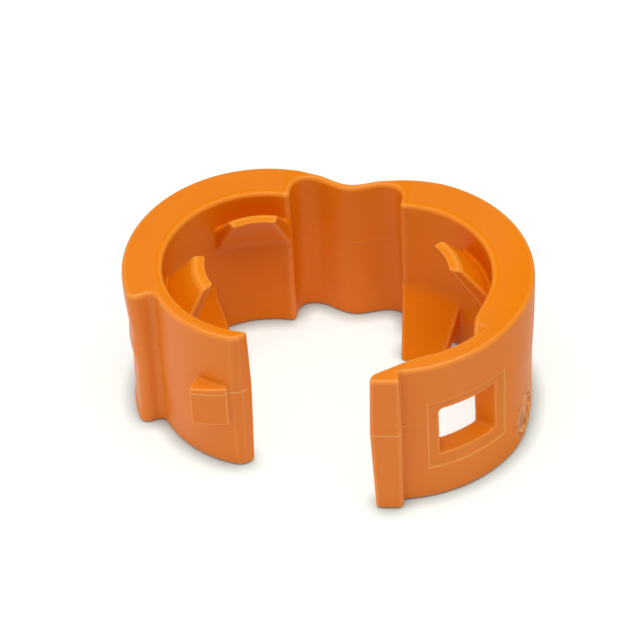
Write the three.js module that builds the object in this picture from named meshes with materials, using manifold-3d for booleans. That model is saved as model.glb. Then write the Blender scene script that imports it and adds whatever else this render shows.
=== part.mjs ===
// Snap-shut locking clip for a pipe coupling: one orange plastic moulding that folds shut round a
// flanged joint. Two C-shaped jaws hang on a thin M-shaped web at the back. The left jaw ends in a
// thin tongue with a ramped latch tooth. The right jaw ends in a strap with a window that the tooth
// snaps into. Leaning retainer teeth inside reach in at the top and bottom rims and hold the two
// collars. Millimetres, +Z up, drawn open, as moulded.

import * as THREE from 'three';
import { mergeVertices } from 'three/addons/utils/BufferGeometryUtils.js';
import Module from 'manifold-3d';

const wasm = await Module();
wasm.setup();

// ---- main sizes (mm) ----
const R = 20;                  // outer radius of each jaw
const HEIGHT = 25.4;           // height of every wall
const BORE_R = 14.23;          // inner radius of each jaw
const TONGUE_R = 16.3;         // outer radius of the tongue
const STRAP_R = 17.13;         // inner radius of the strap
const LIP_R = 21.66;           // outer radius of the thumb lip
const CENTRE_X = 9.36;         // each jaw's centre stands this far from the middle plane
const GAP = 0.3;               // clearance between neighbouring sections
const RIM = 0.6;               // rounding of the rims
const TIP_R = 8.1;             // inner radius at the tips of the retainer teeth
const TIP_OUT_R = 9.8;         // outer radius of the flat at the tips

// ---- hinge web ----
const PIVOT_X = 6.4;           // bend line between the web and each jaw
const FOLD_X = 2.8;            // bend line on each flank of the M
const PIVOT_Y = 18.88;
const WEB_T = 1.1;             // web thickness
const WEB_SWING = 0.76;        // swing of the M about its mean line
const WEB_MEAN_Y = PIVOT_Y - WEB_SWING;
const WEB_HALF = 5.6;          // half wave of the M
const WALL_END_X = 8.14;       // end face of each thick wall
const ROOT_FILLET = 1.04;      // fillet between that end face and the web
const ROOT_IN = 0.9;           // how far the web's root reaches into the wall
const ROOT_Y = 16.6;           // front edge of that root

// ---- angles round each jaw's centre (degrees) ----
const STOP_A = 210.7;          // shoulder where the left wall steps down to the tongue
const SHOULDER_R = 1.1;        // rounding of that shoulder
const TONGUE_END_A = 272;      // end face of the tongue
const TONGUE_BEVEL_A = 267;    // where the bevel on its outer corner starts
const TONGUE_BEVEL_R = 15;     // and the radius at which that bevel meets the end face
const STRAP_CUT_A = 326.6;     // bend line of the strap, where it meets the outside
const STEP_IN_A = 328.8;       // inner corner of the slanted step on the right wall
const STEP_OUT_A = 320.2;      // outer corner of that step, on the strap's inside
const STEP_IN_R = 15.06;
const LIP_START_A = 283.6;
const LIP_STEP_A = 282.4;
const LIP_END_A = 272;
const NOSE_R = 20.32;          // inner corner of the lip's end face
const LEAD_IN = [              // corners of the flared lead-in behind the lip, from the strap outwards
  { r: 18.66, a: 279 },
  { r: 19.48, a: 274.9 },
];

// ---- latch ----
const TOOTH_CATCH_A = 246.2;
const TOOTH_RAMP_A = 262;
const TOOTH_TOP_R = 18.84;
const TOOTH_Z0 = 0.34 * HEIGHT;
const TOOTH_Z1 = 0.63 * HEIGHT;
const WINDOW = { a0: 298, a1: 325, z0: 0.32 * HEIGHT, z1: 0.665 * HEIGHT };
const WINDOW_IN = { a0: 301, a1: 322, z0: 0.325 * HEIGHT, z1: 0.65 * HEIGHT };
const PANEL = { a0: 293.5, a1: 330.5, z0: 0.225 * HEIGHT, z1: 0.72 * HEIGHT, depth: 0.25 };

// ---- mark disc on the right wall ----
const DISC_A = 349.3;
const DISC_R = 3.55;
const DISC_Z = 0.176 * HEIGHT;
const DISC_DEPTH = 0.5;
const POCKET_DEPTH = DISC_DEPTH + GAP;
const DISC_SECTOR = { a0: -35, a1: 10, z0: -1, z1: 15 };   // stretch of the wall that holds the disc

// ---- retainer teeth: angles at the root and at the tip ----
const ROOT_HIGH = 0.79;        // height of the tooth's back edge on the wall, as a share of HEIGHT
const ROOT_LOW = 0.63;         // height of the tooth's lower edge on the wall
const RETAINERS = {
  retainer_upper_left_rear: { side: -1, root: [86, 130.4], tip: [87.5, 130.2], upper: true },
  retainer_lower_left: { side: -1, root: [133.5, 176], tip: [133.5, 176], upper: false },
  retainer_upper_left_front: { side: -1, root: [179.5, 228], tip: [179.5, 222.7], upper: true },
  retainer_upper_right: { side: 1, root: [7, 53.2], tip: [12.5, 53.2], upper: true },
  retainer_lower_right_rear: { side: 1, root: [57, 95], tip: [53, 95], upper: false },
};

const plastic = new THREE.MeshStandardMaterial({ color: 0xee7a1a, roughness: 0.42, metalness: 0 });
const LEFT = { x: -CENTRE_X, y: 0 };
const RIGHT = { x: CENTRE_X, y: 0 };

const rad = (deg) => (deg * Math.PI) / 180;

function polar(c, r, deg) {
  return new THREE.Vector2(c.x + r * Math.cos(rad(deg)), c.y + r * Math.sin(rad(deg)));
}

// Points along an arc, about one every `step` degrees.
function arc(c, r, from, to, step = 4) {
  const n = Math.max(2, Math.round(Math.abs(to - from) / step));
  const points = [];
  for (let i = 0; i <= n; i += 1) {
    points.push(polar(c, r, from + ((to - from) * i) / n));
  }
  return points;
}

// A corner rounded with radius r between its two neighbours.
function corner(before, at, after, r, n = 4) {
  const u = before.clone().sub(at).normalize();
  const v = after.clone().sub(at).normalize();
  const half = Math.acos(THREE.MathUtils.clamp(u.dot(v), -1, 1)) / 2;
  const reach = r / Math.tan(half);
  const centre = at.clone().add(u.clone().add(v).normalize().multiplyScalar(r / Math.sin(half)));
  const start = at.clone().addScaledVector(u, reach).sub(centre);
  const end = at.clone().addScaledVector(v, reach).sub(centre);
  let sweep = end.angle() - start.angle();
  if (sweep > Math.PI) {
    sweep -= 2 * Math.PI;
  }
  if (sweep < -Math.PI) {
    sweep += 2 * Math.PI;
  }
  const points = [];
  for (let i = 0; i <= n; i += 1) {
    points.push(start.clone().rotateAround(new THREE.Vector2(), (sweep * i) / n).add(centre));
  }
  return points;
}

// Upright solid over a plan outline, with rounded rims.
function upright(outline, rim = RIM, z0 = 0, z1 = HEIGHT) {
  const geometry = new THREE.ExtrudeGeometry(new THREE.Shape(outline), {
    depth: z1 - z0 - 2 * rim,
    bevelEnabled: rim > 0,
    bevelThickness: rim,
    bevelSize: rim,
    bevelOffset: -rim,
    bevelSegments: 2,
  });
  geometry.translate(0, 0, z0 + rim);
  return weld(geometry);
}

function weld(geometry) {
  geometry.deleteAttribute('normal');
  geometry.deleteAttribute('uv');
  return mergeVertices(geometry, 1e-4);
}

function toManifold(geometry) {
  const mesh = new wasm.Mesh({
    numProp: 3,
    vertProperties: new Float32Array(geometry.attributes.position.array),
    triVerts: new Uint32Array(geometry.index.array),
  });
  return new wasm.Manifold(mesh);
}

function toGeometry(manifold) {
  const mesh = manifold.getMesh();
  const geometry = new THREE.BufferGeometry();
  geometry.setAttribute('position', new THREE.BufferAttribute(new Float32Array(mesh.vertProperties), 3));
  geometry.setIndex(new THREE.BufferAttribute(new Uint32Array(mesh.triVerts), 1));
  return geometry;
}

function subtract(geometry, ...tools) {
  let solid = toManifold(geometry);
  for (const tool of tools) {
    solid = solid.subtract(toManifold(tool));
  }
  return toGeometry(solid);
}

function intersect(a, b) {
  return toGeometry(toManifold(a).intersect(toManifold(b)));
}

// Closed solid from equal rings of points, each ring a closed section.
function loft(rings) {
  const n = rings[0].length;
  const positions = rings.flat().flatMap((p) => [p.x, p.y, p.z]);
  const index = [];
  for (let k = 0; k < rings.length - 1; k += 1) {
    for (let i = 0; i < n; i += 1) {
      const a = k * n + i;
      const b = k * n + ((i + 1) % n);
      index.push(a, a + n, b);
      index.push(b, a + n, b + n);
    }
  }
  const last = (rings.length - 1) * n;
  for (let i = 1; i < n - 1; i += 1) {
    index.push(0, i, i + 1);
    index.push(last, last + i + 1, last + i);
  }
  const geometry = new THREE.BufferGeometry();
  geometry.setAttribute('position', new THREE.Float32BufferAttribute(positions, 3));
  geometry.setIndex(index);
  return geometry;
}

// Centre line of the web, a shallow M, and its slope.
function webLine(x) {
  if (Math.abs(x) > WEB_HALF) {
    return { y: PIVOT_Y, slope: 0 };
  }
  const phase = (Math.PI * x) / WEB_HALF;
  const y = WEB_MEAN_Y - WEB_SWING * Math.cos(phase);
  const slope = (WEB_SWING * Math.PI * Math.sin(phase)) / WEB_HALF;
  return { y, slope };
}

// Stretch of the web between two bend lines, with full-round ends that clear each other as they turn.
function webSection(x0, x1, n = 10) {
  const half = WEB_T / 2;
  const back = GAP / 2 + half;
  const from = x0 + back * Math.cos(Math.atan(webLine(x0).slope));
  const to = x1 - back * Math.cos(Math.atan(webLine(x1).slope));
  const outer = [];
  const inner = [];
  for (let i = 0; i <= n; i += 1) {
    const x = from + ((to - from) * i) / n;
    const { y, slope } = webLine(x);
    const normal = new THREE.Vector2(-slope, 1).normalize();
    outer.push(new THREE.Vector2(x, y).addScaledVector(normal, half));
    inner.unshift(new THREE.Vector2(x, y).addScaledVector(normal, -half));
  }
  const turn0 = (Math.atan(webLine(from).slope) * 180) / Math.PI;
  const turn1 = (Math.atan(webLine(to).slope) * 180) / Math.PI;
  const right = arc({ x: to, y: webLine(to).y }, half, 90 + turn1, -90 + turn1, 30).slice(1, -1);
  const left = arc({ x: from, y: webLine(from).y }, half, 270 + turn0, 90 + turn0, 30).slice(1, -1);
  return upright([...outer, ...right, ...inner, ...left], 0.3);
}

// Short thick root that carries the web into the end of each wall. Side is -1 on the left, 1 on the right.
function hingeRoot(side) {
  const tip = PIVOT_X + GAP / 2 + WEB_T / 2;
  const y = PIVOT_Y;
  const end = WALL_END_X + ROOT_IN;
  const half = WEB_T / 2;
  const topY = Math.sqrt(R * R - (end - CENTRE_X) ** 2);
  const points = [
    ...arc({ x: tip, y }, half, 90, 270, 30),
    ...arc({ x: WALL_END_X - ROOT_FILLET, y: y - half - ROOT_FILLET }, ROOT_FILLET, 90, 0, 22).slice(1),
    new THREE.Vector2(WALL_END_X, ROOT_Y),
    new THREE.Vector2(end, ROOT_Y),
    new THREE.Vector2(end, topY),
    new THREE.Vector2((end + tip) / 2, (topY + y + half) / 2 + 0.08),
  ];
  return upright(points.map((p) => new THREE.Vector2(p.x * side, p.y)), 0.3);
}

// Thick C-shaped wall of the left jaw, from the web round to the stop shoulder.
function leftWall() {
  const endX = -WALL_END_X - ROOT_IN - GAP;
  const outerStart = 90 - (Math.asin((endX + CENTRE_X) / R) * 180) / Math.PI;
  const innerStart = 90 - (Math.asin((CENTRE_X - WALL_END_X) / BORE_R) * 180) / Math.PI;
  const outer = arc(LEFT, R, outerStart, STOP_A - 5);
  const inner = arc(LEFT, BORE_R, STOP_A, innerStart);
  const outerCorner = polar(LEFT, R, STOP_A);
  const innerCorner = polar(LEFT, TONGUE_R, STOP_A);
  return upright([
    ...outer,
    ...corner(outer[outer.length - 1], outerCorner, innerCorner, SHOULDER_R, 4),
    innerCorner,
    ...inner,
    new THREE.Vector2(-WALL_END_X, ROOT_Y - GAP),
    new THREE.Vector2(endX, ROOT_Y - GAP),
  ]);
}

// Thin tongue that slides inside the strap. Its outer end corner is bevelled to clear the slanted step.
function latchTongue() {
  const mid = (BORE_R + TONGUE_R) / 2;
  const start = STOP_A + (GAP / mid) * (180 / Math.PI);
  return upright([
    ...arc(LEFT, TONGUE_R, start, TONGUE_BEVEL_A),
    polar(LEFT, TONGUE_BEVEL_R, TONGUE_END_A),
    ...arc(LEFT, BORE_R, TONGUE_END_A, start),
  ], 0.45);
}

// Ramped tooth on the outside of the tongue: steep catch face, then a ramp down towards the free end.
function latchTooth() {
  const base = TONGUE_R + GAP;
  const rings = [];
  const n = 6;
  const chamfer = 0.5;
  for (let i = 0; i <= n; i += 1) {
    const t = i / n;
    const a = TOOTH_CATCH_A + (TOOTH_RAMP_A - TOOTH_CATCH_A) * t;
    const top = TOOTH_TOP_R + (base + 0.25 - TOOTH_TOP_R) * Math.max(0, (t - 0.2) / 0.8);
    const lean = i === 0 ? 0.6 : 0;
    const p = polar(LEFT, base, a - lean);
    const q = polar(LEFT, top, a);
    rings.push([
      new THREE.Vector3(p.x, p.y, TOOTH_Z0),
      new THREE.Vector3(q.x, q.y, TOOTH_Z0 + chamfer),
      new THREE.Vector3(q.x, q.y, TOOTH_Z1 - chamfer),
      new THREE.Vector3(p.x, p.y, TOOTH_Z1),
    ]);
  }
  return loft(rings);
}

// Tapered cutter through a jaw's wall, between an inner and an outer opening.
function windowCutter() {
  const rings = [];
  const n = 6;
  for (let i = 0; i <= n; i += 1) {
    const t = i / n;
    const outA = WINDOW.a0 + (WINDOW.a1 - WINDOW.a0) * t;
    const inA = WINDOW_IN.a0 + (WINDOW_IN.a1 - WINDOW_IN.a0) * t;
    const p = polar(RIGHT, STRAP_R, inA);
    const q = polar(RIGHT, R, outA);
    const farIn = p.clone().add(p.clone().sub(q).multiplyScalar(0.5));
    const farOut = q.clone().add(q.clone().sub(p).multiplyScalar(0.5));
    const low = (WINDOW.z0 - WINDOW_IN.z0) / 2;
    const high = (WINDOW.z1 - WINDOW_IN.z1) / 2;
    rings.push([
      new THREE.Vector3(farIn.x, farIn.y, WINDOW_IN.z0 - low),
      new THREE.Vector3(farOut.x, farOut.y, WINDOW.z0 + low),
      new THREE.Vector3(farOut.x, farOut.y, WINDOW.z1 + high),
      new THREE.Vector3(farIn.x, farIn.y, WINDOW_IN.z1 - high),
    ]);
  }
  return loft(rings);
}

// Curved block between two radii, two angles and two heights.
function curvedBlock(c, r0, r1, a0, a1, z0, z1, n = 10) {
  const rings = [];
  for (let i = 0; i <= n; i += 1) {
    const a = a0 + ((a1 - a0) * i) / n;
    const p = polar(c, r0, a);
    const q = polar(c, r1, a);
    rings.push([
      new THREE.Vector3(p.x, p.y, z0),
      new THREE.Vector3(q.x, q.y, z0),
      new THREE.Vector3(q.x, q.y, z1),
      new THREE.Vector3(p.x, p.y, z1),
    ]);
  }
  return loft(rings);
}

// Ends of the slanted split between wall and strap, moved round the ring by half the gap.
// Side 1 is the wall's, side -1 the strap's.
function strapSplit(side) {
  const shift = (side * GAP * 0.75 * 180) / Math.PI;
  return [polar(RIGHT, STRAP_R, STEP_OUT_A + shift / STRAP_R), polar(RIGHT, R, STRAP_CUT_A + shift / R)];
}

function panelCutter() {
  return curvedBlock(RIGHT, R - PANEL.depth, R + 3, PANEL.a0, PANEL.a1, PANEL.z0, PANEL.z1);
}

// Round plug standing across the right wall, for the mark disc and its pocket.
function discPlug(radius) {
  const plug = weld(new THREE.CylinderGeometry(radius, radius, 4, 28));
  plug.rotateZ(Math.PI / 2);
  plug.translate(R, 0, 0);
  plug.rotateZ(rad(DISC_A));
  plug.translate(CENTRE_X, 0, DISC_Z);
  return plug;
}

// Slice of the right jaw's ring round the disc, between two radii.
function discSector(r0, r1) {
  const { a0, a1, z0, z1 } = DISC_SECTOR;
  return curvedBlock(RIGHT, r0, r1, a0, a1, z0, z1);
}

// Thick C-shaped wall of the right jaw, from the web round to the slanted step where the strap begins.
function rightWall() {
  const endX = WALL_END_X + ROOT_IN + GAP;
  const outerStart = 90 - (Math.asin((endX - CENTRE_X) / R) * 180) / Math.PI;
  const innerStart = 90 + (Math.asin((CENTRE_X - WALL_END_X) / BORE_R) * 180) / Math.PI;
  const [splitIn, splitOut] = strapSplit(1);
  const splitA = STRAP_CUT_A - 360 + 1.5;
  const outline = [
    ...arc(RIGHT, BORE_R, innerStart, STEP_IN_A - 352),
    polar(RIGHT, (BORE_R + STEP_IN_R) / 2, STEP_IN_A - 357),
    polar(RIGHT, STEP_IN_R, STEP_IN_A - 360),
    splitIn,
    splitOut,
    ...arc(RIGHT, R, splitA, outerStart),
    new THREE.Vector2(endX, ROOT_Y - GAP),
    new THREE.Vector2(WALL_END_X, ROOT_Y - GAP),
  ];
  const pocket = intersect(discPlug(DISC_R + GAP), discSector(R - POCKET_DEPTH, R + 2));
  return subtract(upright(outline.reverse(), 0.4), windowCutter(), panelCutter(), pocket);
}

// Round mark disc let into the outside of the right wall, its face following the wall.
function markDisc() {
  return intersect(discPlug(DISC_R), discSector(R - DISC_DEPTH, R));
}

// Springy strap with the catch window and the shallow panel round it.
function latchStrap() {
  const [splitIn, splitOut] = strapSplit(-1);
  const outline = [
    ...arc(RIGHT, R, LIP_START_A + 0.4, STRAP_CUT_A - 5),
    splitOut,
    splitIn,
    ...arc(RIGHT, STRAP_R, STEP_OUT_A - 3, LIP_START_A + 0.4),
  ];
  return subtract(upright(outline, 0.4), windowCutter(), panelCutter());
}

// Free end of the strap: a thumb lip outside, and a flared lead-in for the tooth inside.
function thumbLip() {
  const start = LIP_START_A - 0.4;
  const top = polar(RIGHT, LIP_R, LIP_STEP_A - 1);
  const lip = arc(RIGHT, LIP_R, LIP_END_A + 3, LIP_STEP_A - 3.4, 3);
  const tip = polar(RIGHT, LIP_R, LIP_END_A);
  const nose = polar(RIGHT, NOSE_R, LIP_END_A + 0.7);
  const outline = [
    nose,
    ...corner(nose, tip, lip[0], 0.7, 3),
    ...lip,
    ...corner(lip[lip.length - 1], top, polar(RIGHT, R, LIP_STEP_A), 0.6, 3),
    polar(RIGHT, R, LIP_STEP_A),
    polar(RIGHT, R, start),
    polar(RIGHT, STRAP_R + 0.55, start),
    ...LEAD_IN.map(({ r, a }) => polar(RIGHT, r, a)),
  ];
  return upright(outline, 0.5);
}

// Leaning tooth inside a jaw: rooted on the wall, its flat tip level with the rim.
function retainer({ side, root, tip, upper }) {
  const centre = side < 0 ? LEFT : RIGHT;
  const wallR = BORE_R - GAP;
  const back = (wallR - TIP_OUT_R) / (BORE_R - TIP_OUT_R);
  const front = (wallR - TIP_R) / (BORE_R - TIP_R);
  const section = [
    { r: wallR, z: 1 + (ROOT_HIGH - 1) * back, at: root },
    { r: TIP_OUT_R, z: 1, at: tip },
    { r: TIP_R, z: 1, at: tip },
    { r: wallR, z: 1 + (ROOT_LOW - 1) * front, at: root },
  ];
  const rings = [];
  const n = 8;
  for (let i = 0; i <= n; i += 1) {
    const ring = section.map((s) => {
      const p = polar(centre, s.r, s.at[0] + ((s.at[1] - s.at[0]) * i) / n);
      const z = upper ? s.z : 1 - s.z;
      return new THREE.Vector3(p.x, p.y, z * HEIGHT);
    });
    rings.push(upper ? ring : ring.reverse());
  }
  return loft(rings);
}

const geometries = {
  hinge_web: webSection(-FOLD_X, FOLD_X),
  left_web_leaf: webSection(-PIVOT_X, -FOLD_X),
  right_web_leaf: webSection(FOLD_X, PIVOT_X),
  left_hinge_root: hingeRoot(-1),
  left_wall: leftWall(),
  latch_tongue: latchTongue(),
  latch_tooth: latchTooth(),
  right_hinge_root: hingeRoot(1),
  right_wall: rightWall(),
  mark_disc: markDisc(),
  latch_strap: latchStrap(),
  thumb_lip: thumbLip(),
};
for (const [name, spec] of Object.entries(RETAINERS)) {
  geometries[name] = retainer(spec);
}

const clip = new THREE.Group();
clip.name = 'pipe_coupling_clip';
for (const [name, geometry] of Object.entries(geometries)) {
  const mesh = new THREE.Mesh(geometry, plastic.clone());
  mesh.name = name;
  clip.add(mesh);
}

// The origin is the centre of the footprint, on the ground.
const box = new THREE.Box3().setFromObject(clip);
const middle = box.getCenter(new THREE.Vector3());
for (const mesh of clip.children) {
  mesh.geometry.translate(-middle.x, -middle.y, -box.min.z);
  mesh.geometry.computeVertexNormals();
}

export default clip;
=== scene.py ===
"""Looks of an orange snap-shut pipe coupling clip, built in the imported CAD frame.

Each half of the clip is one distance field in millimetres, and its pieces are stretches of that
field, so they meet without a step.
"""

import math

import bpy
import numpy as np
import openvdb
from mathutils import Matrix, Vector


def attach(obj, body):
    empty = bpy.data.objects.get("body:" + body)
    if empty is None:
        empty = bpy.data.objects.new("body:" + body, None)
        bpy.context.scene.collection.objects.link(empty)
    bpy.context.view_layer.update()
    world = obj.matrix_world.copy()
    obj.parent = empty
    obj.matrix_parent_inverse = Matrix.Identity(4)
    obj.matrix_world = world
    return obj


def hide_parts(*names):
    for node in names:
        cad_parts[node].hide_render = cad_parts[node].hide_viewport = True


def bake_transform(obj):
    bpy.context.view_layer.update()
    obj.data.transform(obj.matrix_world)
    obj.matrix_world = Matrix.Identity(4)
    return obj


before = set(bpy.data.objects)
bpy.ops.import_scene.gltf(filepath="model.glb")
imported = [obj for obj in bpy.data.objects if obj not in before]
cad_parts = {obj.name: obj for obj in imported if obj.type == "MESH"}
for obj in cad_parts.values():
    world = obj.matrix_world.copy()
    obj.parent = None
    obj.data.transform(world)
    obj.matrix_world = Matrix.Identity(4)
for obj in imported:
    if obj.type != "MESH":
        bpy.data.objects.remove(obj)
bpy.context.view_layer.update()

# ---- sizes shared with the CAD part (mm, degrees) ----
SHIFT_Y = 0.797                # move along Y that centres the footprint
R = 20.0                       # outer radius of each jaw
HEIGHT = 25.4
BORE_R = 14.23                 # inner radius of each jaw
TONGUE_R = 16.3                # outer radius of the tongue
STRAP_R = 17.13                # inner radius of the strap
LIP_R = 21.9                   # outer radius of the thumb lip
CENTRE_X = 9.36                # each jaw's centre stands this far from the middle plane
LEFT = (-CENTRE_X, 0.0)
RIGHT = (CENTRE_X, 0.0)

# ---- web ----
PIVOT_Y = 18.88                # line of the bends
WEB_T = 1.15                   # thickness
WEB_SWING = 0.76               # swing of the M about its mean line
WEB_HALF = 5.6                 # half wave of the M
WEB_FILLET = 2.3               # fillet into the walls' end faces
WEB_ROOT_START = 4.55          # where the thicker roots begin
WEB_ROOT_END = 9.2             # and end, inside the walls
WEB_BLEND_START = 4.2          # over this stretch the outer face runs from web to wall
WEB_BLEND_END = 7.6
WALL_END_X = 8.14              # end face of each thick wall
WALL_CORNER = 0.7              # rounding of its inner corner
SINK_FADE = 6.0                # length over which the walls' sunk faces begin, beside the web

# ---- left jaw: shoulder and tongue ----
STOP_A = 210.7                 # stop shoulder
SHOULDER = 1.4                 # its rounding
SHOULDER_FILLET = 1.1          # and the fillet at its foot
TONGUE_SEAM_A = 216.0          # where the tongue's piece begins
TONGUE_END_A = 272.3
BEVEL_X, BEVEL_Y = -CENTRE_X - 0.84, -16.15
BEVEL_NORMAL_A = -50.4
TOOTH_CATCH_A = 245.8          # steep catch face of the latch tooth
TOOTH_LENGTH = 4.65
TOOTH_TOP_R = 18.84
TOOTH_END_R = 17.0
TOOTH_Z0 = 0.34 * HEIGHT
TOOTH_Z1 = 0.63 * HEIGHT
TOOTH_FILLET = 0.3
TOOTH_ROUND = 0.25

# ---- right jaw: step, strap, window and lip ----
FLAT_A = -12.1                 # the bore runs straight on from here
STEP_X, STEP_Y = CENTRE_X + 13.03, -7.19
STEP_NORMAL_A = 186.4
STRAP_SEAM_A = 330.3           # where the strap's piece begins
LIP_START_A = 283.6            # and the lip's
LIP_STEP_A = 282.4
LIP_END_X = CENTRE_X + 0.58
FLARE_X, FLARE_Y = CENTRE_X + 2.54, -18.8
FLARE_NORMAL_A = 127.6
WINDOW_A, WINDOW_Z = 311.5, 0.49 * HEIGHT
WINDOW_HALF_ARC, WINDOW_HALF_Z = 3.2, 4.05
PANEL_A, PANEL_Z = 312.0, 0.4725 * HEIGHT
PANEL_HALF_ARC, PANEL_HALF_Z = 6.46, 6.29
PANEL_DEPTH = 0.12
PIP_R = 0.3
DIMPLE_DEPTH = 0.38
DISC_A = 349.3
DISC_R = 3.55
DISC_Z = 0.176 * HEIGHT

# ---- retainer teeth ----
TIP_R = 8.1                    # inner radius at the tips
TIP_OUT_R = 9.8                # outer radius of the flat at the tips
ROOT_HIGH = 0.79               # back edge on the wall, as a share of HEIGHT
ROOT_LOW = 0.63                # lower edge on the wall
RETAINER_ROUND = 0.45
RETAINER_FILLET = 0.7

# ---- moulding details ----
RIM = 0.6                      # rounding of the rims, top and foot
END_ROUND = 0.6                # rounding of the free ends' corners
PARTING_Z = 0.585 * HEIGHT
DRAFT = math.tan(math.radians(1.0))    # full draft, one degree
DRAFT_MIDDLE = 12.5            # height from the parting line at which a drafted face is in place
WALL_DRAFT = 0.6               # share of the draft that the walls have
END_DRAFT = 1.2                # and that the free ends have besides
LEFT_LEAN = 0.56               # how far the left wall leans in towards its foot
LEFT_FLARE = 0.36              # and how far the foot stands out again
RIGHT_LEAN = 0.38
RIGHT_PROUD = 0.28             # how proud the right wall's rim is
STRAP_FLARE = 0.22
VOXEL = 0.16
SEAM = 3.2 * VOXEL             # length over which neighbouring pieces overlap


# ---- distance fields ----
def round_max(a, b, r):
    """Intersection of two fields with an outside edge of radius r."""
    out = np.hypot(np.maximum(a + r, 0), np.maximum(b + r, 0))
    return np.minimum(-r, np.maximum(a, b)) + out


def round_min(a, b, r):
    """Union of two fields with an inside fillet of radius r."""
    out = np.hypot(np.maximum(r - a, 0), np.maximum(r - b, 0))
    return np.maximum(r, np.minimum(a, b)) - out


def radius(p, c):
    """Distance from the upright axis through c."""
    return np.hypot(p[0] - c[0], p[1] - c[1])


def past(p, c, deg):
    """Signed distance beyond the ray at angle deg from c, positive on its anticlockwise side."""
    a = math.radians(deg)
    return (p[1] - c[1]) * math.cos(a) - (p[0] - c[0]) * math.sin(a)


def angle(p, c, around):
    """Angle about c in degrees, continuous within 180 of around."""
    a = np.degrees(np.arctan2(p[1] - c[1], p[0] - c[0]))
    return around + (a - around + 180) % 360 - 180


def around_arc(p, c, middle, r):
    """Length along an arc of radius r about c, from the ray at the middle angle."""
    return np.radians(angle(p, c, middle) - middle) * r


def line_side(p, x, y, deg):
    """Signed distance from the line through (x, y), positive where its normal, at angle deg, points."""
    a = math.radians(deg)
    return (p[0] - x) * math.cos(a) + (p[1] - y) * math.sin(a)


def line_between(u, v, start, end):
    """Distance above the line through two points of the (u, v) plane."""
    du, dv = end[0] - start[0], end[1] - start[1]
    return ((v - start[1]) * du - (u - start[0]) * dv) / math.hypot(du, dv)


def draft(z):
    """How far a fully drafted face stands inside its nominal place, by height."""
    return DRAFT * (np.abs(z - PARTING_Z) - DRAFT_MIDDLE)


def upright(field, p):
    """Gives the walls of a plan their draft, cuts them to the height and rounds the rims."""
    walls = field + WALL_DRAFT * draft(p[2])
    return round_max(round_max(walls, p[2] - HEIGHT, RIM), -p[2], RIM)


def rectangle(a, b, half_a, half_b, corner):
    """Signed distance from a rectangle with rounded corners, in two coordinates a and b."""
    qa = np.abs(a) - half_a + corner
    qb = np.abs(b) - half_b + corner
    return np.hypot(np.maximum(qa, 0), np.maximum(qb, 0)) + np.minimum(np.maximum(qa, qb), 0) - corner


# ---- shapes ----
def ramp(t, width):
    """Smooth rise from 0 to 1 as t goes from 0 to width."""
    t = np.clip(t / width, 0, 1)
    return t * t * (3 - 2 * t)


def hump(z, at, width):
    """Bell curve over the height, 1 at its middle. Both places are shares of HEIGHT."""
    return np.exp(-(((z / HEIGHT - at) / width) ** 2))


def sink(z):
    """How far the left wall's outer face has sunk in cooling: a lean, two hollows and a flared foot."""
    lean_in = LEFT_LEAN * ramp(0.96 - z / HEIGHT, 0.36)
    return lean_in + 0.12 * hump(z, 0.38, 0.09) - 0.14 * hump(z, 0.54, 0.06) - LEFT_FLARE * hump(z, 0, 0.07)


def right_sink(p):
    """The same for the right half: a proud rim and a leaning side, then a flared foot below the strap."""
    side = RIGHT_LEAN * ramp(0.8 - p[2] / HEIGHT, 0.5) - RIGHT_PROUD * hump(p[2], 1, 0.25)
    share = np.clip((angle(p, RIGHT, 0) + 22) / 20, 0, 1)
    return share * side - (1 - share) * STRAP_FLARE * hump(p[2], 0, 0.15)


def outer_face(p, c):
    """Outside of a thick wall, running smoothly into the outer face of the web."""
    x = np.abs(p[0])
    sunk = right_sink(p) if c is RIGHT else sink(p[2])
    sunk = sunk * np.clip((x - WEB_BLEND_END) / SINK_FADE, 0, 1)
    web = (p[1] - web_outer(x)) / web_steepness(p[0])
    return np.where(x < WEB_BLEND_END, web, radius(p, c) - R + sunk)


def web_outer(x):
    """Y of the web's outer face at a distance x from the middle plane."""
    t = ramp(x - WEB_BLEND_START, WEB_BLEND_END - WEB_BLEND_START)
    wall = np.sqrt(np.maximum(R * R - (x - CENTRE_X) ** 2, 1))
    return (1 - t) * (web_line(x) + WEB_T / 2) + t * wall


def web_line(x):
    """Y of the web's middle line, a shallow M."""
    turn = math.pi * np.clip(x, -WEB_HALF, WEB_HALF) / WEB_HALF
    return PIVOT_Y - WEB_SWING - WEB_SWING * np.cos(turn)


def web_steepness(x):
    """Length of that line for each unit of X."""
    turn = math.pi * np.clip(x, -WEB_HALF, WEB_HALF) / WEB_HALF
    slope = WEB_SWING * math.pi / WEB_HALF * np.sin(turn)
    return np.sqrt(1 + slope * slope)


def web_inner(p):
    """Positive inside the coupling, where the thin M-shaped web leaves room."""
    return (web_line(p[0]) - WEB_T / 2 - p[1]) / web_steepness(p[0])


def left_form(p):
    """Left half without its teeth: half the web, the thick wall up to its shoulder, and the thin tongue."""
    r = radius(p, LEFT)
    thick = round_max(outer_face(p, LEFT), past(p, LEFT, STOP_A), SHOULDER)
    outside = round_min(thick, r - TONGUE_R, SHOULDER_FILLET)
    inside = round_max(BORE_R - r, p[0] + WALL_END_X, WALL_CORNER)
    inside = round_min(inside, web_inner(p), WEB_FILLET)
    bevel = line_side(p, BEVEL_X, BEVEL_Y, BEVEL_NORMAL_A)
    end = round_max(past(p, LEFT, TONGUE_END_A) + END_DRAFT * draft(p[2]), bevel, END_ROUND)
    end = np.minimum(end, -p[1])
    return upright(round_max(np.maximum(outside, inside), end, END_ROUND), p)


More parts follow.
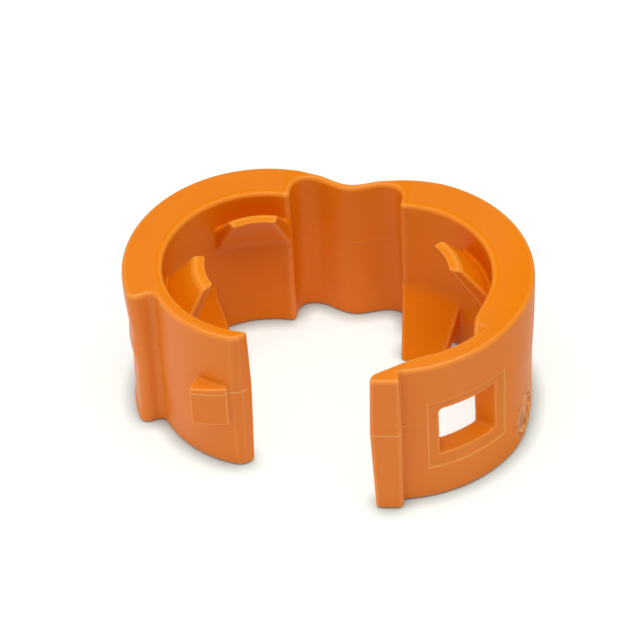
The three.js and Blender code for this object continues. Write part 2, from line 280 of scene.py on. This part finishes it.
def right_bore(p):
    """Inside of the thick right wall: the bore, then a straight run on to the step."""
    flat = BORE_R - line_side(p, RIGHT[0], 0, FLAT_A)
    return np.where(angle(p, RIGHT, 0) < FLAT_A, flat, BORE_R - radius(p, RIGHT))


def right_inside(p):
    """Inside faces of the right half: wall, step, strap, and the flared lead-in behind the lip."""
    step = np.minimum(line_side(p, STEP_X, STEP_Y, STEP_NORMAL_A), -p[1] - 1)
    inside = round_min(STRAP_R - radius(p, RIGHT), round_max(right_bore(p), step, 0.06), 0.12)
    inside = round_max(inside, WALL_END_X - p[0], WALL_CORNER)
    return round_min(inside, web_inner(p), WEB_FILLET)


def right_plan(p):
    """Plan of the right half: half the web, the thick wall, the strap and the thumb lip."""
    lip = np.maximum(round_max(radius(p, RIGHT) - LIP_R, past(p, RIGHT, LIP_STEP_A), 0.7), p[1])
    outside = round_min(outer_face(p, RIGHT), lip, 0.4)
    end = np.minimum(LIP_END_X - p[0] + END_DRAFT * draft(p[2]), -p[1] - 5)
    flare = np.minimum(line_side(p, FLARE_X, FLARE_Y, FLARE_NORMAL_A), np.minimum(17 - p[0], -p[1] - 5))
    ends = round_max(end, flare, END_ROUND)
    return round_max(np.maximum(outside, right_inside(p)), ends, END_ROUND)


def right_form(p):
    """Right half without its teeth: its upright plan, with dimple, panel, pip, window and disc seat."""
    solid = np.maximum(upright(right_plan(p), p), p[2] - HEIGHT + dimple(p))
    solid = round_max(solid, -panel(p), 0.06)
    solid = round_min(solid, pip(p), 0.1)
    solid = round_max(solid, -window(p), 0.2)
    seat = np.maximum(disc_radius(p) - DISC_R, R - 0.9 - radius(p, RIGHT))
    return round_max(solid, -seat, 0.12)


def dimple(p):
    """Depth of the shallow three-cornered dip in the rim beside the step."""
    inward = -line_side(p, STEP_X, STEP_Y, STEP_NORMAL_A) - 0.45
    along = np.abs(line_side(p, STEP_X + 0.22, STEP_Y - 2.15, STEP_NORMAL_A + 90))
    fade = np.clip(1 - inward / 2.0, 0, 1)
    return DIMPLE_DEPTH * fade * ramp(1.5 * fade - along, 0.9) * ramp(inward, 0.6)


def pip(p):
    """Tiny round pip where the panel's border starts."""
    arc = around_arc(p, RIGHT, PANEL_A, R) - PANEL_HALF_ARC
    return np.hypot(np.hypot(arc, p[2] - PANEL_Z - PANEL_HALF_Z), radius(p, RIGHT) - R) - PIP_R


def window(p):
    """Tapered opening with small round corners, wider on the outside."""
    t = (radius(p, RIGHT) - STRAP_R) / (R - STRAP_R)
    arc = around_arc(p, RIGHT, WINDOW_A, radius(p, RIGHT))
    up = p[2] - WINDOW_Z
    corner = 0.3 + 0.5 * np.clip(-arc * up / 8, 0, 1)
    half_arc = WINDOW_HALF_ARC + 1.65 * t
    half_z = WINDOW_HALF_Z + 0.4 * t
    return rectangle(arc - 0.15 * t, up + 0.1 * t, half_arc, half_z, corner)


def panel(p):
    """Shallow sunk panel round the window."""
    arc = around_arc(p, RIGHT, PANEL_A, R)
    border = rectangle(arc, p[2] - PANEL_Z, PANEL_HALF_ARC, PANEL_HALF_Z, 0.4)
    return np.maximum(border, R - PANEL_DEPTH - radius(p, RIGHT))


def disc_radius(p):
    """Distance from the disc's middle, measured on the wall's outer face."""
    return np.hypot(around_arc(p, RIGHT, DISC_A, R), p[2] - DISC_Z)


def disc_solid(p):
    """Round insert mark: a plain raised ring round a sunk centre."""
    d = disc_radius(p)
    crest = 0.22 * np.exp(-(((d - DISC_R + 0.35) / 0.22) ** 2))
    dish = 0.22 * np.clip((DISC_R - 0.7 - d) / 0.4, 0, 1)
    sunk = np.maximum(outer_face(p, RIGHT) + 0.04 - crest + dish, R - 1.6 - radius(p, RIGHT))
    return round_max(sunk, d - DISC_R + 0.03, 0.06)


def tooth_solid(p):
    """Ramped latch tooth: steep catch face, sloping crown, low step at the end of the ramp."""
    r = radius(p, LEFT)
    along = around_arc(p, LEFT, TOOTH_CATCH_A, TONGUE_R)
    crown = line_between(along, r, (0.3, TOOTH_TOP_R), (TOOTH_LENGTH, TOOTH_END_R))
    catch = -along - 0.16 * (TOOTH_TOP_R - r)
    middle = (TOOTH_Z0 + TOOTH_Z1) / 2
    sides = np.abs(p[2] - middle) - (TOOTH_Z1 - TOOTH_Z0) / 2 + 0.12 * (r - TONGUE_R)
    body = round_max(round_max(crown, catch, TOOTH_ROUND), sides, TOOTH_ROUND)
    return round_max(body, along - TOOTH_LENGTH, TOOTH_ROUND)


def retainer_solid(p, side, root, tip, upper):
    """Leaning tooth: sloping back and front faces, a flat tip level with the rim, and two end faces."""
    centre = LEFT if side < 0 else RIGHT
    r = radius(p, centre)
    z = p[2] if upper else HEIGHT - p[2]
    share = np.clip((BORE_R - r) / (BORE_R - TIP_R), -0.1, 1.1)
    a = angle(p, centre, (root[0] + root[1]) / 2)
    start = root[0] + (tip[0] - root[0]) * share
    end = root[1] + (tip[1] - root[1]) * share
    ends = np.maximum(np.radians(start - a), np.radians(a - end)) * r
    back = line_between(r, z, (TIP_OUT_R, HEIGHT), (BORE_R, ROOT_HIGH * HEIGHT))
    front = -line_between(r, z, (TIP_R, HEIGHT), (BORE_R, ROOT_LOW * HEIGHT))
    body = round_max(np.maximum(front, round_max(back, z - HEIGHT, 0.5)), z - HEIGHT, 0.12)
    return round_max(body, ends, RETAINER_ROUND)


# ---- pieces ----
# A piece is a form, the stretch of it that it keeps, and how far it dips under its neighbours.
def stretch(form, cut):
    """The part of a form on the negative side of cut. It runs half a seam on, just under its neighbour."""
    def keep(p):
        return cut(p) - SEAM / 2

    def dip(p):
        return 0.02 * np.clip(cut(p) + SEAM / 2, 0, SEAM) / SEAM
    return form, keep, dip


def web_piece(side, near, far):
    """One stretch of the web between two distances from the middle plane."""
    def cut(p):
        across = side * p[0]
        return np.maximum(np.maximum(near - across, across - far), 10 - p[1])
    return stretch(right_form if side > 0 else left_form, cut)


def left_wall_cut(p):
    """From the web's root round to the shoulder. Like the cuts below, negative where its piece lies."""
    web_side = np.where(p[1] > 0, WEB_ROOT_END + p[0], -100.0)
    return np.maximum(web_side, past(p, LEFT, TONGUE_SEAM_A))


def tongue_cut(p):
    """From just past the shoulder to the tongue's end."""
    return np.maximum(-past(p, LEFT, TONGUE_SEAM_A), p[1])


def right_wall_cut(p):
    """From the web's root round to the strap."""
    web_side = np.where(p[1] > 0, WEB_ROOT_END - p[0], -100.0)
    return np.maximum(web_side, np.minimum(-past(p, RIGHT, STRAP_SEAM_A), -p[1] - 3))


def strap_cut(p):
    """From the wall to the lip."""
    return np.maximum(past(p, RIGHT, STRAP_SEAM_A), -past(p, RIGHT, LIP_START_A))


def lip_cut(p):
    """The lip, up to the strap's free end."""
    return past(p, RIGHT, LIP_START_A)


def joined(host, tooth, limit, fillet):
    """A tooth with its fillet onto a host form, kept down to limit, a little below the host's face."""
    def form(p):
        return round_min(host(p), tooth(p), fillet)

    def keep(p):
        return np.maximum(tooth(p) - fillet - SEAM, limit(p))

    def dip(p):
        return 0.06 * np.clip(tooth(p) - 0.85 * fillet, 0, 5)
    return form, keep, dip


def whole(form):
    """A piece that is all of its own form."""
    def keep(p):
        return np.full_like(p[0], -50.0)

    def dip(p):
        return 0.0
    return form, keep, dip


# ---- meshing ----
def grid_points(lo, hi, voxel):
    """Grid coordinates over a box, and the index of the first point on each axis."""
    axes = [np.arange(math.floor(a / voxel) - 3, math.ceil(b / voxel) + 4) for a, b in zip(lo, hi)]
    first = [int(a[0]) for a in axes]
    mesh = np.meshgrid(*[(a * voxel).astype(np.float32) for a in axes], indexing="ij")
    return mesh, first


def surface(field, lo, hi, voxel):
    """Vertices (mm) and faces of the zero surface of field inside a box."""
    mesh, first = grid_points(lo, hi, voxel)
    values = field(mesh).astype(np.float32)
    grid = openvdb.FloatGrid(10.0)
    grid.copyFromArray(values, tolerance=0.0)
    points, quads = grid.convertToQuads(isovalue=0.0)
    return (points.astype(np.float64) + np.array(first)) * voxel, quads.astype(np.int64)


def gradient(field, points, step):
    """Slope of the field at each point, by central differences."""
    sides = []
    for k in range(3):
        ahead = [points[:, i] + (step if i == k else 0.0) for i in range(3)]
        behind = [points[:, i] - (step if i == k else 0.0) for i in range(3)]
        sides.append(field(ahead) - field(behind))
    return np.stack(sides, axis=1) / (2 * step)


def settle(field, points):
    """Newton steps onto the zero surface, each at most half a voxel."""
    for _ in range(2):
        g = gradient(field, points, 0.02)
        size = np.maximum((g * g).sum(axis=1), 0.2)
        d = field([points[:, i] for i in range(3)])
        move = -g * (d / size)[:, None]
        length = np.linalg.norm(move, axis=1)
        points = points + move * (np.minimum(length, 0.5 * VOXEL) / np.maximum(length, 1e-9))[:, None]
    return points


def skin_normals(form, keep, points):
    """Normals of the form where the point lies on its skin, and of the cut elsewhere."""
    on_skin = np.abs(form([points[:, i] for i in range(3)])) < 0.06
    normals = np.where(on_skin[:, None], gradient(form, points, 0.03), gradient(keep, points, 0.03))
    return normals / np.maximum(np.linalg.norm(normals, axis=1), 1e-9)[:, None]


def sharpness(form, points):
    """How convex the form is: 0 on flat or hollow skin, 1 on an edge rounded to 0.4 mm or less."""
    step = 0.12
    total = -6 * form([points[:, i] for i in range(3)])
    for k in range(3):
        for move in (-step, step):
            total = total + form([points[:, i] + (move if i == k else 0.0) for i in range(3)])
    return np.clip((total / (step * step) - 0.5) / 2.0, 0, 1)


def solid_mesh(name, piece, lo, hi):
    """A smooth closed mesh of one piece."""
    form, keep, dip = piece

    def field(p):
        return np.maximum(form(p) + dip(p), keep(p))
    points, quads = surface(field, lo, hi, VOXEL)
    points = settle(field, points)
    normals = skin_normals(form, keep, points)
    # Sharpness, kept as the edge attribute, sets where the painted edge highlight goes
    edges = sharpness(form, points)
    points[:, 1] += SHIFT_Y
    mesh = bpy.data.meshes.new(name)
    mesh.from_pydata((points / 1000.0).tolist(), [], quads.tolist())
    mesh.polygons.foreach_set("use_smooth", [True] * len(mesh.polygons))
    mesh.normals_split_custom_set_from_vertices(normals.tolist())
    mesh.attributes.new("edge", "FLOAT", "POINT").data.foreach_set("value", edges.tolist())
    obj = bpy.data.objects.new(name, mesh)
    bpy.context.scene.collection.objects.link(obj)
    return obj


# ---- materials (lengths in metres from here on) ----
ORANGE_DEEP = (0.72, 0.163, 0.0)
ORANGE_LIGHT = (0.79, 0.182, 0.001)
# Painted highlight colour, laid on sharp edges, the parting line and the panel's border
HIGHLIGHT_ORANGE = (0.92, 0.40, 0.10)
MARK_DEEP = (0.50, 0.11, 0.0)
MARK_LIGHT = (0.86, 0.27, 0.03)
EDGE_HIGHLIGHT = 0.30               # strength of the painted highlight on sharp edges
MARK_EDGE_HIGHLIGHT = 0.50          # and on the disc
SHINE = 0.42                   # specular level of the outer faces
WEB_SHINE = 0.20               # of the web's front
BORE_SHINE = 0.12              # and of the bores
BORE_EDGE = (0.0150, 0.0156)   # radii between which bore gives way to outer face
FACE_EDGE = (0.0182, 0.0190)   # and those between a wall's inside and its outer face
SIDE_FADE = (0.0210, 0.0285)   # the right wall loses its shine between these two X
FRONT_FADE = (0.0, 0.6)        # the web's shine comes back as its face turns from side to rear
LINE_HALF = 0.00021            # half width of the parting line
BORDER_HALF = 0.00027          # and of the panel's border


def new_material(name):
    """An empty material, with its node tree and its shader."""
    material = bpy.data.materials.new(name)
    material.use_nodes = True
    return material, material.node_tree, material.node_tree.nodes["Principled BSDF"]


def textured(tree, spot, scale, detail, roughness=0.5):
    """Noise of so many features to the metre, as a factor from 0 to 1."""
    noise = tree.nodes.new("ShaderNodeTexNoise")
    noise.inputs["Scale"].default_value = scale
    noise.inputs["Detail"].default_value = detail
    noise.inputs["Roughness"].default_value = roughness
    tree.links.new(spot, noise.inputs["Vector"])
    return noise.outputs["Fac"]


def feed(tree, socket, value):
    """Sets a socket from a number or a colour, or links it to another socket."""
    if isinstance(value, (int, float)):
        socket.default_value = value
    elif isinstance(value, tuple):
        socket.default_value = (*value, 1)
    else:
        tree.links.new(value, socket)


def maths(tree, operation, *values):
    """A Math node on sockets or plain numbers."""
    made = tree.nodes.new("ShaderNodeMath")
    made.operation = operation
    for socket, value in zip(made.inputs, values):
        feed(tree, socket, value)
    return made.outputs[0]


def bump(tree, height, strength, distance, normal=None):
    """A normal bent by a height, on top of another normal if there is one."""
    made = tree.nodes.new("ShaderNodeBump")
    made.inputs["Strength"].default_value = strength
    made.inputs["Distance"].default_value = distance
    tree.links.new(height, made.inputs["Height"])
    if normal:
        tree.links.new(normal, made.inputs["Normal"])
    return made.outputs["Normal"]


def blend_colours(tree, factor, low, high):
    """A colour that runs from low to high as factor goes from 0 to 1."""
    made = tree.nodes.new("ShaderNodeMix")
    made.data_type = "RGBA"
    colours = [socket for socket in made.inputs if socket.type == "RGBA"]
    feed(tree, colours[0], low)
    feed(tree, colours[1], high)
    feed(tree, made.inputs["Factor"], factor)
    return [socket for socket in made.outputs if socket.type == "RGBA"][0]


def rise(tree, value, start, end):
    """0 up to start and 1 from end on, with a smooth step between; start may be the greater."""
    made = tree.nodes.new("ShaderNodeMapRange")
    made.interpolation_type = "SMOOTHSTEP"
    made.inputs["From Min"].default_value = min(start, end)
    made.inputs["From Max"].default_value = max(start, end)
    made.inputs["To Min"].default_value = float(start > end)
    made.inputs["To Max"].default_value = float(start < end)
    tree.links.new(value, made.inputs["Value"])
    return made.outputs[0]


def ridge(tree, distance, half_width):
    """A smooth ridge, 1 where distance is 0 and 0 beyond half_width. Lengths in metres."""
    return rise(tree, maths(tree, "ABSOLUTE", distance), half_width, 0.2 * half_width)


def outside_radius(tree, x, y, edge):
    """0 nearer to a jaw's axis than the first radius of edge, and 1 beyond the second."""
    across = maths(tree, "SUBTRACT", maths(tree, "ABSOLUTE", x), CENTRE_X / 1000)
    up = maths(tree, "SUBTRACT", y, SHIFT_Y / 1000)
    squares = maths(tree, "ADD", maths(tree, "MULTIPLY", across, across), maths(tree, "MULTIPLY", up, up))
    return rise(tree, maths(tree, "SQRT", squares), *edge)


def border_distance(tree, x, y, z):
    """Distance from the border of the sunk panel, measured round the strap's outer face."""
    across = maths(tree, "SUBTRACT", x, CENTRE_X / 1000)
    up = maths(tree, "SUBTRACT", y, SHIFT_Y / 1000)
    turn = maths(tree, "ARCTAN2", up, across)
    turn = maths(tree, "SUBTRACT", turn, math.radians(PANEL_A - 360))
    arc = maths(tree, "MULTIPLY", turn, R / 1000)
    side = maths(tree, "SUBTRACT", maths(tree, "ABSOLUTE", arc), PANEL_HALF_ARC / 1000)
    level = maths(tree, "ABSOLUTE", maths(tree, "SUBTRACT", z, PANEL_Z / 1000))
    return maths(tree, "MAXIMUM", side, maths(tree, "SUBTRACT", level, PANEL_HALF_Z / 1000))


def painted_edge_highlight(tree, most):
    """Share of painted highlight, up to most on sharp edges: the edge attribute that every mesh carries,
    scaled.
    """
    made = tree.nodes.new("ShaderNodeAttribute")
    made.attribute_name = "edge"
    return maths(tree, "MULTIPLY", made.outputs["Fac"], most)


def add_line(tree, mark, highlight_share, height, colour, normal):
    """A raised line wherever mark is 1, with a painted highlight along it."""
    colour = blend_colours(tree, maths(tree, "MULTIPLY", mark, highlight_share), colour, HIGHLIGHT_ORANGE)
    return colour, bump(tree, mark, 0.6, height, normal)


def parting_mark(tree, x, z, off_bore, from_x):
    """1 on the parting line outside the bores, from a given X on where there is one."""
    mark = ridge(tree, maths(tree, "SUBTRACT", z, PARTING_Z / 1000), LINE_HALF)
    mark = maths(tree, "MULTIPLY", mark, off_bore)
    if from_x is not None:
        mark = maths(tree, "MULTIPLY", mark, rise(tree, x, from_x - 0.001, from_x))
    return mark


def border_mark(tree, x, y, z):
    """1 on the border of the panel, on the outer face only."""
    mark = ridge(tree, border_distance(tree, x, y, z), BORDER_HALF)
    return maths(tree, "MULTIPLY", mark, outside_radius(tree, x, y, FACE_EDGE))


def front_shine(tree, normal):
    """Specular level of the web: low on its front and full on its rear."""
    facing = tree.nodes.new("ShaderNodeSeparateXYZ")
    tree.links.new(normal, facing.inputs[0])
    rear = rise(tree, facing.outputs[1], *FRONT_FADE)
    return maths(tree, "MULTIPLY_ADD", rear, SHINE - WEB_SHINE, WEB_SHINE)


def side_shine(tree, x, level):
    """Specular level of the right wall and strap: it fades towards the far right."""
    faded = maths(tree, "MULTIPLY_ADD", rise(tree, x, *SIDE_FADE), BORE_SHINE - SHINE, level)
    return maths(tree, "MAXIMUM", faded, BORE_SHINE)


def moulded_plastic(name, line=0.0, from_x=None, border=0.0, matt_front=False, matt_side=False):
    """Orange moulded plastic: flow mottling, uneven gloss, a fine skin, a painted highlight on sharp edges,
    and raised lines with a painted highlight.
    """
    material, tree, shader = new_material(name)
    coordinates = tree.nodes.new("ShaderNodeTexCoord")
    spot = coordinates.outputs["Object"]
    split = tree.nodes.new("ShaderNodeSeparateXYZ")
    tree.links.new(spot, split.inputs[0])
    x, y, z = split.outputs
    off_bore = outside_radius(tree, x, y, BORE_EDGE)
    broad = textured(tree, spot, 90.0, 3.0)
    grain = textured(tree, spot, 2600.0, 4.0, 0.6)
    colour = blend_colours(tree, broad, ORANGE_DEEP, ORANGE_LIGHT)
    # Painted highlight on sharp edges
    colour = blend_colours(tree, painted_edge_highlight(tree, EDGE_HIGHLIGHT), colour, HIGHLIGHT_ORANGE)
    normal = bump(tree, grain, 0.12, 0.00002)
    normal = bump(tree, broad, 0.15, 0.0002, normal)
    # Raised parting line and panel border, each with a painted highlight
    if line:
        mark = parting_mark(tree, x, z, off_bore, from_x)
        colour, normal = add_line(tree, mark, line, 0.0001, colour, normal)
    if border:
        colour, normal = add_line(tree, border_mark(tree, x, y, z), border, 0.00006, colour, normal)
    level = maths(tree, "MULTIPLY_ADD", off_bore, SHINE - BORE_SHINE, BORE_SHINE)
    if matt_front:
        level = front_shine(tree, coordinates.outputs["Normal"])
    if matt_side:
        level = side_shine(tree, x, level)
    tree.links.new(colour, shader.inputs["Base Color"])
    tree.links.new(maths(tree, "MULTIPLY_ADD", broad, 0.12, 0.34), shader.inputs["Roughness"])
    tree.links.new(normal, shader.inputs["Normal"])
    tree.links.new(level, shader.inputs["Specular IOR Level"])
    set_plastic(shader)
    return material


def set_plastic(shader):
    """The constants that every orange piece shares."""
    shader.inputs["IOR"].default_value = 1.45
    shader.inputs["Subsurface Weight"].default_value = 0.12
    shader.inputs["Subsurface Radius"].default_value = (0.0016, 0.0005, 0.00015)
    shader.inputs["Subsurface Scale"].default_value = 1.0


def insert_mark(name):
    """The round mark left by a mould insert: coarse and uneven, with a painted highlight on its raised ring
    and edges.
    """
    material, tree, shader = new_material(name)
    spot = tree.nodes.new("ShaderNodeTexCoord").outputs["Object"]
    blotch = textured(tree, spot, 900.0, 2.0, 0.6)
    pits = textured(tree, spot, 1900.0, 3.0, 0.6)
    colour = blend_colours(tree, rise(tree, blotch, 0.35, 0.65), MARK_DEEP, MARK_LIGHT)
    # Painted highlight on the disc's sharp edges
    colour = blend_colours(tree, painted_edge_highlight(tree, MARK_EDGE_HIGHLIGHT), colour, HIGHLIGHT_ORANGE)
    normal = bump(tree, blotch, 1.0, 0.0005)
    tree.links.new(colour, shader.inputs["Base Color"])
    tree.links.new(maths(tree, "MULTIPLY_ADD", pits, 0.2, 0.25), shader.inputs["Roughness"])
    tree.links.new(bump(tree, pits, 0.8, 0.0001, normal), shader.inputs["Normal"])
    set_plastic(shader)
    return material


# ---- assembly ----
def build(name, piece, lo, hi, material, body, *nodes, bend=None):
    """Meshes one piece inside a box, gives it its finish and hangs it on its body; a piece given a bend is
    only left with its place baked into its mesh.

    The box runs from lo to hi in millimetres. The piece hides the CAD nodes that it stands for.
    """
    obj = solid_mesh(name + "_skin", piece, lo, hi)
    obj.data.materials.append(material)
    if bend:
        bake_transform(obj)
    else:
        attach(obj, body)
    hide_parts(*nodes)
    return obj


def fold_point(x, y):
    """A place on a fold, half way up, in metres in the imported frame."""
    return (x / 1000, (y + SHIFT_Y) / 1000, HEIGHT / 2000)


def build_web(plastic):
    """The M-shaped web in four pieces: on each side a fold and a root."""
    for side, word in ((-1, "left"), (1, "right")):
        leaf, jaw = word + "_leaf", word + "_jaw"
        lo = (min(side * -0.8, side * 5.4), 14.5, -0.5)
        hi = (max(side * -0.8, side * 5.4), 20.5, HEIGHT + 0.5)
        bend = ("web", leaf, fold_point(side * 1.4, 18), fold_point(side * 4.2, 18))
        piece = web_piece(side, 0, WEB_ROOT_START)
        nodes = ("hinge_web", word + "_web_leaf")
        build("web_fold_" + word, piece, lo, hi, plastic, None, *nodes, bend=bend)
        lo = (min(side * 3.8, side * 10.2), 14.0, -0.5)
        hi = (max(side * 3.8, side * 10.2), 20.5, HEIGHT + 0.5)
        bend = (leaf, jaw, fold_point(side * 4.9, 18), fold_point(side * 7.9, 18))
        piece = web_piece(side, WEB_ROOT_START, WEB_ROOT_END)
        build("web_root_" + word, piece, lo, hi, plastic, None, word + "_hinge_root", bend=bend)


def below_tongue(p):
    """Positive more than half a millimetre under the tongue's outer face."""
    return TONGUE_R - 0.5 - radius(p, LEFT)


def build_left(plastic, tongue_plastic, tooth_plastic):
    """Left jaw: wall, tongue and latch tooth."""
    wall = stretch(left_form, left_wall_cut)
    lo, hi = (-30, -14, -0.5), (-7.5, 21, 26)
    build("left_wall", wall, lo, hi, plastic, "left_jaw", "left_wall")
    tongue = stretch(left_form, tongue_cut)
    lo, hi = (-27.5, -17.8, -0.5), (-8.5, -4, 26)
    build("latch_tongue", tongue, lo, hi, tongue_plastic, "left_jaw", "latch_tongue")
    tooth = joined(left_form, tooth_solid, below_tongue, TOOTH_FILLET)
    lo, hi = (-19.5, -20.5, 6), (-9, -13, 19)
    build("latch_tooth", tooth, lo, hi, tooth_plastic, "left_jaw", "latch_tooth")


def build_right(framed, disc, lip_plastic):
    """Right jaw: wall and disc, then the strap and its lip."""
    wall = stretch(right_form, right_wall_cut)
    lo, hi = (7.5, -13.5, -0.5), (30, 21, 26)
    build("right_wall", wall, lo, hi, framed, "right_jaw", "right_wall")
    lo, hi = (25, -10, 0.5), (30.5, 0.5, 11.5)
    build("mark_disc", whole(disc_solid), lo, hi, disc, "right_jaw", "mark_disc")
    bend = ("right_jaw", "strap", fold_point(25.54, -8.97), fold_point(23.11, -12.38))
    strap = stretch(right_form, strap_cut)
    lo, hi = (11.5, -20.8, -0.5), (28, -7, 26)
    build("latch_strap", strap, lo, hi, framed, None, "latch_strap", bend=bend)
    lip = stretch(right_form, lip_cut)
    lo, hi = (9.5, -22.4, -0.5), (15.5, -16, 26)
    build("thumb_lip", lip, lo, hi, lip_plastic, "strap", "thumb_lip")


# Side, angles at the root, angles at the tip, and whether the tooth hangs from the top rim.
RETAINERS = {
    "retainer_upper_left_rear": (-1, (86, 130.4), (87.5, 130.2), True),
    "retainer_lower_left": (-1, (133.5, 176), (133.5, 176), False),
    "retainer_upper_left_front": (-1, (179.5, 228), (179.5, 222.7), True),
    "retainer_upper_right": (1, (7, 53.2), (12.5, 53.2), True),
    "retainer_lower_right_rear": (1, (57, 95), (53, 95), False),
}


def build_retainer(name, side, root, tip, upper, plastic):
    """One leaning tooth, with its fillet onto the bore, in a box round its sweep."""
    centre = LEFT if side < 0 else RIGHT

    def tooth(p):
        return retainer_solid(p, side, root, tip, upper)

    def limit(p):
        return radius(p, centre) - BORE_R - 0.45
    sweep = np.linspace(root[0] - 8, root[1] + 8, 9)
    corners = [(r, math.radians(a)) for r in (TIP_R - 0.5, BORE_R + 0.8) for a in sweep]
    xs = [centre[0] + r * math.cos(a) for r, a in corners]
    ys = [r * math.sin(a) for r, a in corners]
    z0, z1 = (ROOT_LOW * HEIGHT - 3, HEIGHT + 0.5) if upper else (-0.5, (1 - ROOT_LOW) * HEIGHT + 3)
    lo, hi = (min(xs), min(ys), z0), (max(xs), max(ys), z1)
    piece = joined(left_form if side < 0 else right_form, tooth, limit, RETAINER_FILLET)
    build(name, piece, lo, hi, plastic, "left_jaw" if side < 0 else "right_jaw", name)


def build_clip():
    """Every piece of the clip, in its own finish of the one plastic."""
    # line and border set the strength of the painted highlight along the parting line and the panel's
    # border
    plain_plastic = moulded_plastic("moulded_plastic", line=0.18)
    tongue_plastic = moulded_plastic("tongue_plastic", line=0.7, from_x=-0.0115)
    line_plastic = moulded_plastic("line_plastic", line=0.7)
    framed_plastic = moulded_plastic("framed_plastic", line=0.15, border=0.45, matt_side=True)
    web_plastic = moulded_plastic("web_plastic", line=0.12, matt_front=True)
    retainer_plastic = moulded_plastic("tooth_plastic")
    build_web(web_plastic)
    build_left(plain_plastic, tongue_plastic, line_plastic)
    build_right(framed_plastic, insert_mark("insert_mark"), line_plastic)
    for name, (side, root, tip, upper) in RETAINERS.items():
        build_retainer(name, side, root, tip, upper, retainer_plastic)


# ---- stage: floor, light and camera ----
FLOOR_HALF = 1.5               # half the floor's side
FLOOR_GREY = 0.32
FLOOR_GLOW = 0.68
PAINTED_SHADOW_REACH = 0.0025               # reach of the painted contact shadow
AZIMUTH = math.radians(12.33)  # camera: round from the front to the right
ELEVATION = math.radians(44.82)
ROLL = math.radians(3.14)
DISTANCE = 0.656
AIM_RIGHT, AIM_UP = -0.0682 * R / 1000, 0.5443 * R / 1000
LENS = 253.1
SENSOR = 36
FILL_COLOUR = (1.04, 0.88, 0.88)


def set_look():
    """Plain colours, with no film curve over them."""
    bpy.context.scene.view_settings.view_transform = "Standard"


def build_floor():
    """White floor that glows a little, with a painted contact shadow: the glow dims in the last millimetres
    next to the clip's foot.
    """
    mesh = bpy.data.meshes.new("floor")
    half = FLOOR_HALF
    corners = [(-half, -half, 0), (half, -half, 0), (half, half, 0), (-half, half, 0)]
    mesh.from_pydata(corners, [], [(0, 1, 2, 3)])
    floor = bpy.data.objects.new("floor", mesh)
    bpy.context.scene.collection.objects.link(floor)
    material, tree, shader = new_material("floor")
    shader.inputs["Base Color"].default_value = (FLOOR_GREY, FLOOR_GREY, FLOOR_GREY, 1)
    shader.inputs["Roughness"].default_value = 0.9
    shader.inputs["Emission Color"].default_value = (1, 1, 1, 1)
    # Painted contact shadow: ambient occlusion dims the glow next to the clip
    contact = tree.nodes.new("ShaderNodeAmbientOcclusion")
    contact.inputs["Distance"].default_value = PAINTED_SHADOW_REACH
    glow = maths(tree, "MULTIPLY", maths(tree, "POWER", contact.outputs["AO"], 1.5), FLOOR_GLOW)
    tree.links.new(glow, shader.inputs["Emission Strength"])
    mesh.materials.append(material)


def area_light(name, place_at, target, size, power, colour):
    """A square lamp that looks at a target."""
    data = bpy.data.lights.new(name, "AREA")
    data.shape = "SQUARE"
    data.size = size
    data.energy = power
    data.color = colour
    lamp = bpy.data.objects.new(name, data)
    lamp.location = place_at
    lamp.rotation_euler = (Vector(target) - Vector(place_at)).to_track_quat("-Z", "Y").to_euler()
    bpy.context.scene.collection.objects.link(lamp)


def build_lights():
    """An even dome, one wide soft light high above, and weak fills for the sides."""
    target = (0, 0, 0.012)
    area_light("overhead", (0.02, -0.06, 0.55), target, 0.45, 2.8, (0.94, 1.15, 0.90))
    area_light("right_high", (0.45, 0.12, 0.42), target, 0.30, 0.45, (1, 1, 0.85))
    area_light("left_fill", (-0.58, -0.14, 0.18), target, 0.40, 0.8, FILL_COLOUR)
    area_light("front_fill", (0.05, -0.60, 0.10), target, 0.40, 0.35, FILL_COLOUR)
    world = bpy.data.worlds.new("studio")
    bpy.context.scene.world = world
    world.use_nodes = True
    world.node_tree.nodes["Background"].inputs["Color"].default_value = (1, 1, 1, 1)
    world.node_tree.nodes["Background"].inputs["Strength"].default_value = 0.3


def build_camera():
    """Camera to the front right, looking down, rolled a few degrees, with a long lens."""
    right = Vector((math.cos(AZIMUTH), math.sin(AZIMUTH), 0))
    level = math.cos(ELEVATION)
    back = Vector((math.sin(AZIMUTH) * level, -math.cos(AZIMUTH) * level, math.sin(ELEVATION)))
    up = back.cross(right)
    origin = Vector((0, SHIFT_Y / 1000, 0))
    eye = origin + back * DISTANCE
    target = origin + right * AIM_RIGHT + up * AIM_UP
    back = (eye - target).normalized()
    right = (right - back * right.dot(back)).normalized()
    up = back.cross(right)
    rolled_up = up * math.cos(ROLL) + right * math.sin(ROLL)
    rolled_right = rolled_up.cross(back)
    data = bpy.data.cameras.new("camera")
    data.lens = LENS
    data.sensor_width = SENSOR
    camera = bpy.data.objects.new("camera", data)
    turn = Matrix((rolled_right, rolled_up, back)).transposed().to_4x4()
    camera.matrix_world = Matrix.Translation(eye) @ turn
    bpy.context.scene.collection.objects.link(camera)
    bpy.context.scene.camera = camera


build_clip()
set_look()
build_floor()
build_lights()
build_camera()
